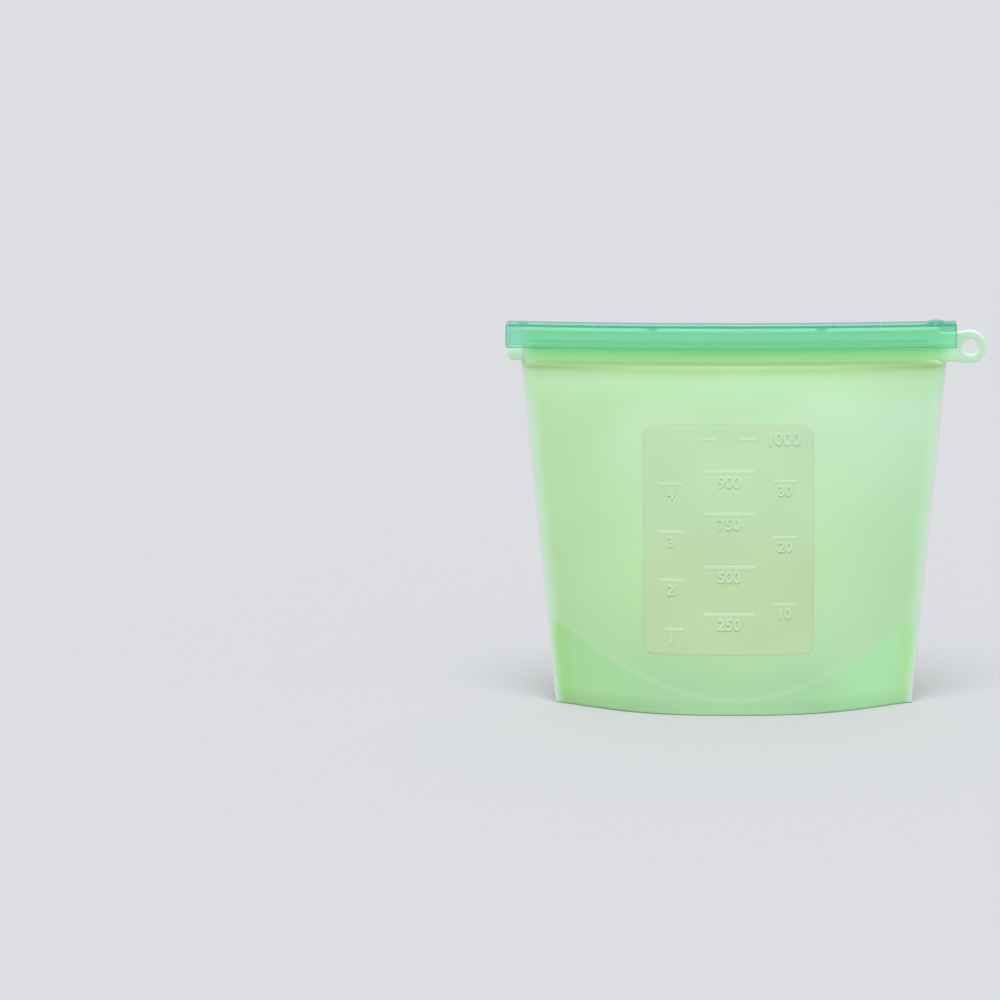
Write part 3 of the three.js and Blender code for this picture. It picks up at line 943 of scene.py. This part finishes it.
# Distances above the gusset's arc, from the side edges and below the lips are in millimetres
SKIRT_RISE = (1.6, -1.6)
LOW_MIDDLE_RISE = (36.0, 0.0)
ARC_LINE_BELOW = (-1.4, 0.6)
ARC_LINE_ABOVE = (3.4, 1.0)
STRIP_WIDTH = (11.0, 7.5)
EDGE_REACH = (4.8, 7.6)       # how far in the side edges are paler, low down and higher up
EDGE_HIGHLIGHT_WIDTH = (1.7, 0.0)
BAND_FADE = 14
ENDS_FADE = 5
SILICONE_IOR = 1.41
PLASTIC_IOR = 1.2             # below the real one, so that the bar's walls stay clear and light
SCATTER_DEPTH = 0.0014        # how far light spreads inside the silicone, in metres


class BagPlaces:
    """What the silicone's colour depends on at each point: its place at rest, in metres, and
    its distances from the bag's features, in millimetres."""

    def __init__(self, paint):
        self.rest = paint.add("ShaderNodeAttribute", attribute_name="rest").outputs["Vector"]
        axes = paint.add("ShaderNodeSeparateXYZ")
        paint.put(self.rest, axes.inputs[0])
        self.height = axes.outputs["Z"]
        self.rightwards = paint.ramp(axes.outputs["X"], *LEFT_TO_RIGHT)
        self.off_centre = paint.math("ABSOLUTE", axes.outputs["X"])
        self.above_arc = paint.value("above_arc")
        self.from_edge = paint.value("from_edge")
        self.lip = paint.value("lip")
        self.paint = paint

    def between(self, pair):
        """The first colour of the pair at the bag's left, and the second at its right."""
        return self.paint.mix(self.rightwards, *pair)


def wall_colour(paint, at):
    """Softly clouded green, lighter higher up, with painted light: paler patches near the top,
    where the wall's soft folds catch it.
    """
    clouds = paint.noise(at.rest, CLOUD_SCALE, 1.5)
    clouds = paint.ramp(clouds, *CLOUD_RANGE, -CLOUD_STRENGTH, CLOUD_STRENGTH)
    share = paint.math("ADD", clouds, paint.ramp(at.height, *LIGHTER_HEIGHTS, 0.15, 0.85))
    colour = paint.mix(share, at.between(BODY_LOW), at.between(BODY_HIGH))
    patches = paint.ramp(paint.noise(at.rest, PATCH_SCALE, 1.0), *PATCH_RANGE)
    painted_light = paint.product(patches, paint.ramp(at.height, *LIGHT_PATCH_HEIGHTS, 0.0, 0.6))
    return paint.mix(painted_light, colour, PAINTED_LIGHT_PATCH)


def with_gusset(paint, at, colour):
    """Deeper green below the gusset's arc, greyer above it in the middle, strips beside the
    seams, and the arc's pale line."""
    colour = paint.mix(paint.ramp(at.above_arc, *SKIRT_RISE), colour, at.between(SKIRT))
    central = paint.ramp(at.off_centre, *LOW_MIDDLE_ACROSS, 0.0, 0.85)
    low_middle = paint.product(paint.ramp(at.above_arc, *LOW_MIDDLE_RISE), central)
    colour = paint.mix(low_middle, colour, LOW_MIDDLE)
    beside_seams = paint.ramp(at.from_edge, *STRIP_WIDTH)
    strip = paint.product(beside_seams, paint.ramp(at.height, *STRIP_HEIGHTS))
    colour = paint.mix(strip, colour, at.between(SEAM_STRIP))
    above_lower_side = paint.ramp(at.above_arc, *ARC_LINE_BELOW)
    line = paint.product(above_lower_side, paint.ramp(at.above_arc, *ARC_LINE_ABOVE))
    return paint.mix(paint.product(line, 0.3), colour, ARC_LINE)


def with_painted_foot_shade(paint, at, colour):
    """Painted shade just above the floor, mostly towards the sides, with a painted contact shadow
    right at the floor.
    """
    near_floor = paint.ramp(at.height, *FOOT_SHADE_HEIGHTS, 0.0, 0.35)
    contact_shadow = paint.ramp(at.height, *CONTACT_SHADOW_HEIGHTS, 0.0, 0.35)
    sideways = paint.ramp(at.off_centre, *FOOT_SHADE_ACROSS, 0.12, 1.0)
    share = paint.product(paint.math("ADD", near_floor, contact_shadow), sideways)
    return paint.mix(share, colour, at.between(PAINTED_FOOT_SHADE))


def with_side_edges(paint, at, colour):
    """Paler towards the side edges, less far from them below the gusset's ends: thin silicone,
    with painted light that offsets the shade on the rounded edges, and a painted highlight along
    the very edge.
    """
    reach = paint.ramp(at.height, *EDGE_HEIGHTS, *EDGE_REACH)
    within = paint.math("SUBTRACT", reach, at.from_edge)
    edge = paint.math("DIVIDE", within, paint.math("ADD", reach, 0.5))
    colour = paint.mix(paint.ramp(edge, 0.0, 1.0), colour, EDGE_THIN_AND_LIT)
    return paint.mix(paint.ramp(at.from_edge, *EDGE_HIGHLIGHT_WIDTH, 0.0, 0.85), colour, EDGE_HIGHLIGHT)


def with_lips(paint, at, colour):
    """Bands of green along the mouth, deeper on the thick lips, with painted shade and painted
    light in them, paler towards the lips' ends.
    """
    low, high = LIP_GREEN_AND_SHADE_STOPS[0][0], LIP_GREEN_AND_SHADE_STOPS[-1][0]
    low_height, high_height = (LIP_BOTTOM + low) * MM, (LIP_BOTTOM + high) * MM
    band = paint.add("ShaderNodeValToRGB")
    paint.put(paint.ramp(at.height, low_height, high_height, curve="LINEAR"), band.inputs[0])
    stops = band.color_ramp.elements
    while len(stops) < len(LIP_GREEN_AND_SHADE_STOPS):
        stops.new(0.5)
    for stop, (offset, stop_colour) in zip(stops, LIP_GREEN_AND_SHADE_STOPS):
        stop.position = (offset - low) / (high - low)
        stop.color = stop_colour
    near_lips = paint.ramp(at.height, (WALL_TOP - ENDS_FADE) * MM, WALL_TOP * MM)
    ends = paint.mix(near_lips, colour, at.between(PALE))
    in_band = paint.ramp(at.height, (LIP_BOTTOM + low - BAND_FADE) * MM, low_height)
    return paint.mix(in_band, colour, paint.mix(at.lip, ends, band.outputs[0]))


def bag_colour(paint, at):
    """The bag's green, built up layer by layer."""
    colour = wall_colour(paint, at)
    for layer in (with_gusset, with_painted_foot_shade, with_side_edges, with_lips):
        colour = layer(paint, at, colour)
    return colour


def panel_colour(paint, at):
    """The panel's duller green, a little yellower low down."""
    return paint.mix(paint.ramp(at.height, *PANEL_HEIGHTS), PANEL_LOW, PANEL)


def mark_colour(paint, at):
    """One plain green for the lines and numbers."""
    return MARK


def silicone(name, colour, scatter=1.0, roughness=0.42):
    """Frosted translucent silicone, with the colour that the given function works out."""
    paint = Paint(name)
    at = BagPlaces(paint)
    frost = paint.noise(at.rest, FROST_SCALE)
    frost = paint.ramp(frost, *FROST_RANGE, roughness, roughness + FROST_SPREAD)
    paint.set(Base_Color=colour(paint, at), Roughness=frost)
    paint.set(IOR=SILICONE_IOR, Specular_IOR_Level=0.4)
    paint.set(Subsurface_Weight=scatter, Subsurface_Radius=(1.0, 1.0, 0.8))
    paint.set(Subsurface_Scale=SCATTER_DEPTH)
    paint.bump(paint.noise(at.rest, GRAIN_SCALE, 1.0), 0.06, 0.0002)
    return paint.material


def clear_plastic():
    """Glossy clear plastic, tinted teal green and a little milky."""
    paint = Paint("bar_clear_plastic")
    tint = paint.add("ShaderNodeAttribute", attribute_name="tint").outputs["Color"]
    paint.set(Base_Color=tint, Roughness=0.08, Transmission_Weight=0.82, IOR=PLASTIC_IOR)
    return paint.material


def matt_floor():
    """Pale grey without any gloss."""
    paint = Paint("floor_paint")
    paint.set(Base_Color=FLOOR_COLOUR, Roughness=1.0, Specular_IOR_Level=0.0)
    return paint.material


# ---- Camera, floor and light ---------------------------------------------------------------

VIEW_ELEVATION = 11.0
LENS = 300.0
SENSOR = 36.0
FIELD = 0.48                  # width of the view at the bag, in metres
AIM = Vector((-0.1122, 0.0, 0.09924))  # the point in the middle of the view
FLOOR_COLOUR = (0.519, 0.5245, 0.547, 1)
FLOOR_HALF_SIZE = 20.0
FLOOR_GAP = 0.0001
WORLD_STRENGTH = 0.70
FRONT_LIGHT = (0, 68, 34, 2.05)       # azimuth, elevation, spread, strength
BACK_LIGHT = (180, 62, 80, 0.3)


def make_camera():
    """Straight in front of the bag, which stands right of the middle of the view."""
    data = bpy.data.cameras.new("camera")
    data.lens = LENS
    data.sensor_width = SENSOR
    distance = FIELD * LENS / SENSOR
    elevation = math.radians(VIEW_ELEVATION)
    place = Vector((0, -distance * math.cos(elevation), AIM.z + distance * math.sin(elevation)))
    forward = (AIM - place).normalized()
    right = (Vector((1, 0, 0)) - forward.x * forward).normalized()
    up = right.cross(forward)
    camera = bpy.data.objects.new("camera", data)
    turn = Matrix((right, up, -forward)).transposed()
    camera.matrix_world = Matrix.Translation(place) @ turn.to_4x4()
    data.clip_end = 100
    bpy.context.scene.collection.objects.link(camera)
    bpy.context.scene.camera = camera


def make_floor():
    """A large matt floor, a hair below the bag's rim."""
    size = FLOOR_HALF_SIZE
    mesh = bpy.data.meshes.new("floor")
    corners = [(-size, -size), (size, -size), (size, size), (-size, size)]
    mesh.from_pydata([(x, y, -FLOOR_GAP) for x, y in corners], [], [(0, 1, 2, 3)])
    floor = bpy.data.objects.new("floor", mesh)
    bpy.context.scene.collection.objects.link(floor)
    mesh.materials.append(matt_floor())


def sun(name, azimuth, elevation, spread, strength):
    """A far, wide light. azimuth is turned from the front towards the right, in degrees."""
    data = bpy.data.lights.new(name, "SUN")
    data.angle = math.radians(spread)
    data.energy = strength
    light = bpy.data.objects.new(name, data)
    turn, rise = math.radians(azimuth), math.radians(elevation)
    level = math.cos(rise)
    direction = Vector((math.sin(turn) * level, -math.cos(turn) * level, math.sin(rise)))
    light.matrix_world = direction.to_track_quat("Z", "Y").to_matrix().to_4x4()
    bpy.context.scene.collection.objects.link(light)


def make_light():
    """An even white surround, a light from the front and above, and a weak one from behind."""
    world = bpy.data.worlds.new("studio")
    bpy.context.scene.world = world
    world.use_nodes = True
    background = world.node_tree.nodes["Background"]
    background.inputs["Color"].default_value = (1, 1, 1, 1)
    background.inputs["Strength"].default_value = WORLD_STRENGTH
    sun("front_light", *FRONT_LIGHT)
    sun("back_light", *BACK_LIGHT)
    bpy.context.scene.view_settings.view_transform = "Standard"


# ---- Assembly ------------------------------------------------------------------------------

def finish_with(obj, material, slot, *replaced):
    """Gives a piece its material, and hides the nodes that it replaces. slot is not used."""
    obj.data.materials.clear()
    obj.data.materials.append(material)
    if replaced:
        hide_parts(*replaced)


def bend_with_mouth(obj):
    """Bakes the piece's place into its points. The weights with which it would follow the flap
    are worked out but not used.
    """
    weights = mouth_weight(points_of(obj))
    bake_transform(obj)


def build():
    """Makes every piece, and says which body it rides on and which nodes it replaces."""
    bag = silicone("bag_silicone", bag_colour)
    polished = silicone("panel_silicone", panel_colour, scatter=0.0, roughness=0.3)
    marks = silicone("mark_silicone", mark_colour, scatter=0.0)
    make_camera()
    make_floor()
    make_light()

    front, back = shell(-1), shell(1)
    finish_with(front, bag, "bag_silicone", "front_wall_lower", "front_wall_upper", "front_lip",
                "left_side_seam", "right_side_seam")
    finish_with(back, bag, "bag_silicone", "back_wall_lower", "back_wall_upper", "back_lip")
    panel, scale = measuring_panel(), scale_marks()
    finish_with(panel, polished, "bag_silicone")
    finish_with(scale, marks, "bag_silicone")
    for obj in (front, panel, scale):
        bend_with_mouth(obj)
    bend_with_mouth(back)

    base = gusset()
    finish_with(base, bag, "bag_silicone", "bottom_gusset")
    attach(base, "bag_base")
    ear = left_ear()
    finish_with(ear, bag, "bag_silicone", "left_ear")
    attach(ear, "bag_base")
    tab = hanging_tab()
    finish_with(tab, bag, "bag_silicone", "ring_neck", "hanging_ring")
    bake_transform(tab)

    bar = closing_bar()
    finish_with(bar, clear_plastic(), "bar_plastic", "bar_top", "bar_end",
                "bar_front_side", "bar_back_side")
    bar.visible_shadow = False
    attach(bar, "closing_bar")


build()
